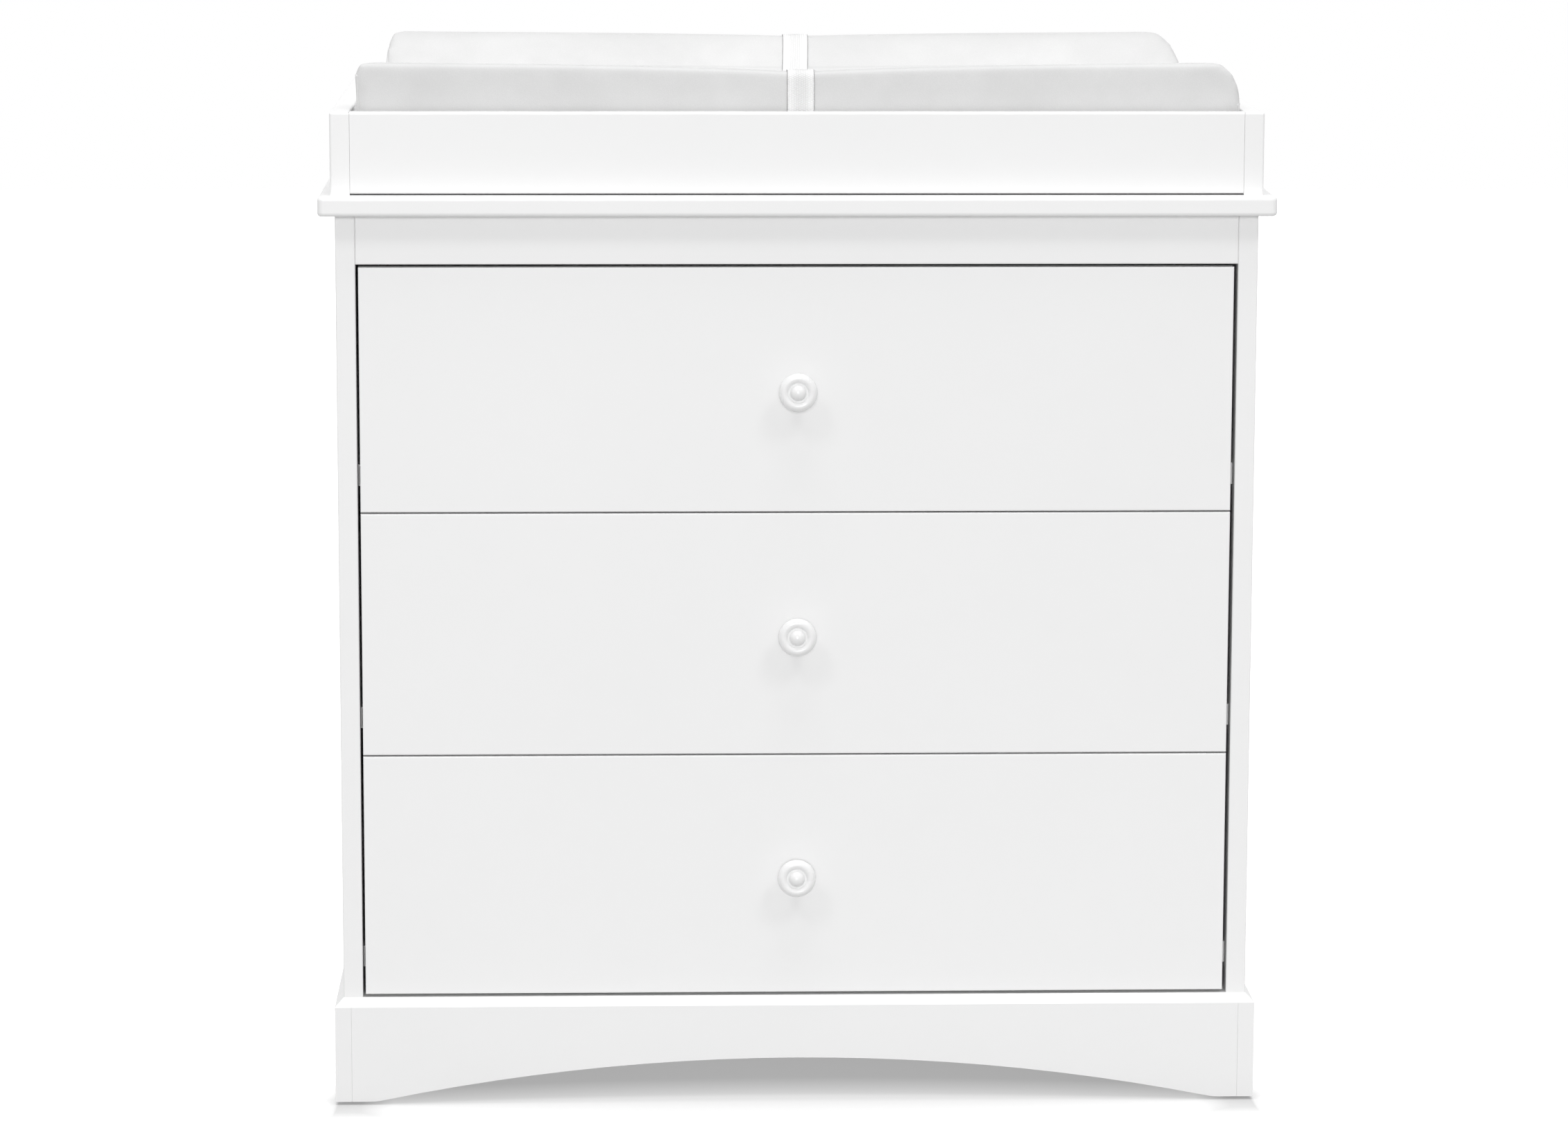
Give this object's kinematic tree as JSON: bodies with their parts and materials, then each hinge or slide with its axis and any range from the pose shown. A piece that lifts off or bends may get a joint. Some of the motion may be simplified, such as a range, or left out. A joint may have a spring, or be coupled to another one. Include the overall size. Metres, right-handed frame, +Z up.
{
  "type": "changing table",
  "caption": "White nursery dresser with inset drawers on roller runners, an arched base, a screwed-on changing tray and a loose contoured pad with a buckled strap.",
  "frame": {"origin": "on the floor, under the middle of the whole object's box", "axes": "+X to the right seen from the front, +Y to the back, +Z up"},
  "size_m": [0.87, 0.513, 0.9652],
  "materials": {
    "white_paint": "satin white paint",
    "white_foil": "matt white foil",
    "drawer_foil": "matt white foil",
    "drawer_hardboard": "smooth white hardboard",
    "hardboard": "smooth brown hardboard",
    "pine": "sawn pine",
    "knob_paint": "satin white paint",
    "runner_enamel": "white epoxy enamel",
    "zinc": "die-cast zinc",
    "plated_steel": "zinc plated",
    "nylon": "natural nylon",
    "glide_plastic": "hard polyethylene",
    "pad_cover": "soft knitted cover",
    "webbing": "woven webbing",
    "buckle_plastic": "moulded acetal"
  },
  "bodies": {
    "cabinet": {"back_panel": "hardboard", "back_panel_nails": "plated_steel", "back_top_rail": "white_foil", "base_back_board": "white_foil", "base_cleats": "pine", "base_front_board": "white_paint", "base_left_board": "white_paint", "base_right_board": "white_paint", "base_screws": "plated_steel", "bottom_panel": "white_foil", "cabinet_runners": "runner_enamel", "cam_bolts": "plated_steel", "cam_locks": "zinc", "dresser_top": "white_paint", "floor_glides": "glide_plastic", "front_top_rail": "white_paint", "left_side_panel": "white_paint", "right_side_panel": "white_paint", "runner_screws": "plated_steel", "tray_back_rail": "white_paint", "tray_brackets": "plated_steel", "tray_front_rail": "white_paint", "tray_left_rail": "white_paint", "tray_right_rail": "white_paint", "tray_screws": "plated_steel"},
    "bottom_drawer": {"bottom_drawer_front": "white_paint", "bottom_drawer_left_side": "drawer_foil", "bottom_drawer_right_side": "drawer_foil", "bottom_drawer_back": "drawer_foil", "bottom_drawer_bottom": "drawer_hardboard", "bottom_drawer_knob": "knob_paint", "bottom_drawer_runners": "runner_enamel", "bottom_drawer_screws": "plated_steel"},
    "bottom_front_roller_pair": {"bottom_front_rollers": "nylon"},
    "bottom_rear_roller_pair": {"bottom_rear_rollers": "nylon"},
    "middle_drawer": {"middle_drawer_front": "white_paint", "middle_drawer_left_side": "drawer_foil", "middle_drawer_right_side": "drawer_foil", "middle_drawer_back": "drawer_foil", "middle_drawer_bottom": "drawer_hardboard", "middle_drawer_knob": "knob_paint", "middle_drawer_runners": "runner_enamel", "middle_drawer_screws": "plated_steel"},
    "middle_front_roller_pair": {"middle_front_rollers": "nylon"},
    "middle_rear_roller_pair": {"middle_rear_rollers": "nylon"},
    "top_drawer": {"top_drawer_front": "white_paint", "top_drawer_left_side": "drawer_foil", "top_drawer_right_side": "drawer_foil", "top_drawer_back": "drawer_foil", "top_drawer_bottom": "drawer_hardboard", "top_drawer_knob": "knob_paint", "top_drawer_runners": "runner_enamel", "top_drawer_screws": "plated_steel"},
    "top_front_roller_pair": {"top_front_rollers": "nylon"},
    "top_rear_roller_pair": {"top_rear_rollers": "nylon"},
    "pad": {"changing_pad": "pad_cover", "front_strap": "webbing", "back_strap": "webbing", "buckle_socket": "buckle_plastic"},
    "buckle_half": {"buckle_tongue": "buckle_plastic"}
  },
  "joints": [
    {"name": "bottom_drawer_slide", "type": "slide", "parent": "cabinet", "child": "bottom_drawer", "axis": [0, -1, 0], "range_m": [0, 0.3]},
    {"name": "bottom_front_rollers_spin", "type": "hinge", "parent": "cabinet", "child": "bottom_front_roller_pair", "pos_m": [0, -0.1965, 0.13405], "axis": [1, 0, 0], "continuous": true},
    {"name": "bottom_rear_rollers_spin", "type": "hinge", "parent": "bottom_drawer", "child": "bottom_rear_roller_pair", "pos_m": [0, 0.1735, 0.13405], "axis": [1, 0, 0], "continuous": true},
    {"name": "middle_drawer_slide", "type": "slide", "parent": "cabinet", "child": "middle_drawer", "axis": [0, -1, 0], "range_m": [0, 0.3]},
    {"name": "middle_front_rollers_spin", "type": "hinge", "parent": "cabinet", "child": "middle_front_roller_pair", "pos_m": [0, -0.1965, 0.36035], "axis": [1, 0, 0], "continuous": true},
    {"name": "middle_rear_rollers_spin", "type": "hinge", "parent": "middle_drawer", "child": "middle_rear_roller_pair", "pos_m": [0, 0.1735, 0.36035], "axis": [1, 0, 0], "continuous": true},
    {"name": "top_drawer_slide", "type": "slide", "parent": "cabinet", "child": "top_drawer", "axis": [0, -1, 0], "range_m": [0, 0.3]},
    {"name": "top_front_rollers_spin", "type": "hinge", "parent": "cabinet", "child": "top_front_roller_pair", "pos_m": [0, -0.1965, 0.58665], "axis": [1, 0, 0], "continuous": true},
    {"name": "top_rear_rollers_spin", "type": "hinge", "parent": "top_drawer", "child": "top_rear_roller_pair", "pos_m": [0, 0.1735, 0.58665], "axis": [1, 0, 0], "continuous": true},
    {"name": "pad_lift", "type": "slide", "parent": "cabinet", "child": "pad", "axis": [0, 0, 1], "range_m": [0, 0.15]},
    {"name": "buckle_release", "type": "slide", "parent": "pad", "child": "buckle_half", "axis": [0, -1, 0], "range_m": [0, 0.03], "deforming": ["front_strap"]}
  ],
  "couplings": [
    {"joint": "bottom_front_rollers_spin", "follows": "bottom_drawer_slide", "rad_per_m": 142.86},
    {"joint": "bottom_rear_rollers_spin", "follows": "bottom_drawer_slide", "rad_per_m": 142.86},
    {"joint": "middle_front_rollers_spin", "follows": "middle_drawer_slide", "rad_per_m": 142.86},
    {"joint": "middle_rear_rollers_spin", "follows": "middle_drawer_slide", "rad_per_m": 142.86},
    {"joint": "top_front_rollers_spin", "follows": "top_drawer_slide", "rad_per_m": 142.86},
    {"joint": "top_rear_rollers_spin", "follows": "top_drawer_slide", "rad_per_m": 142.86}
  ]
}
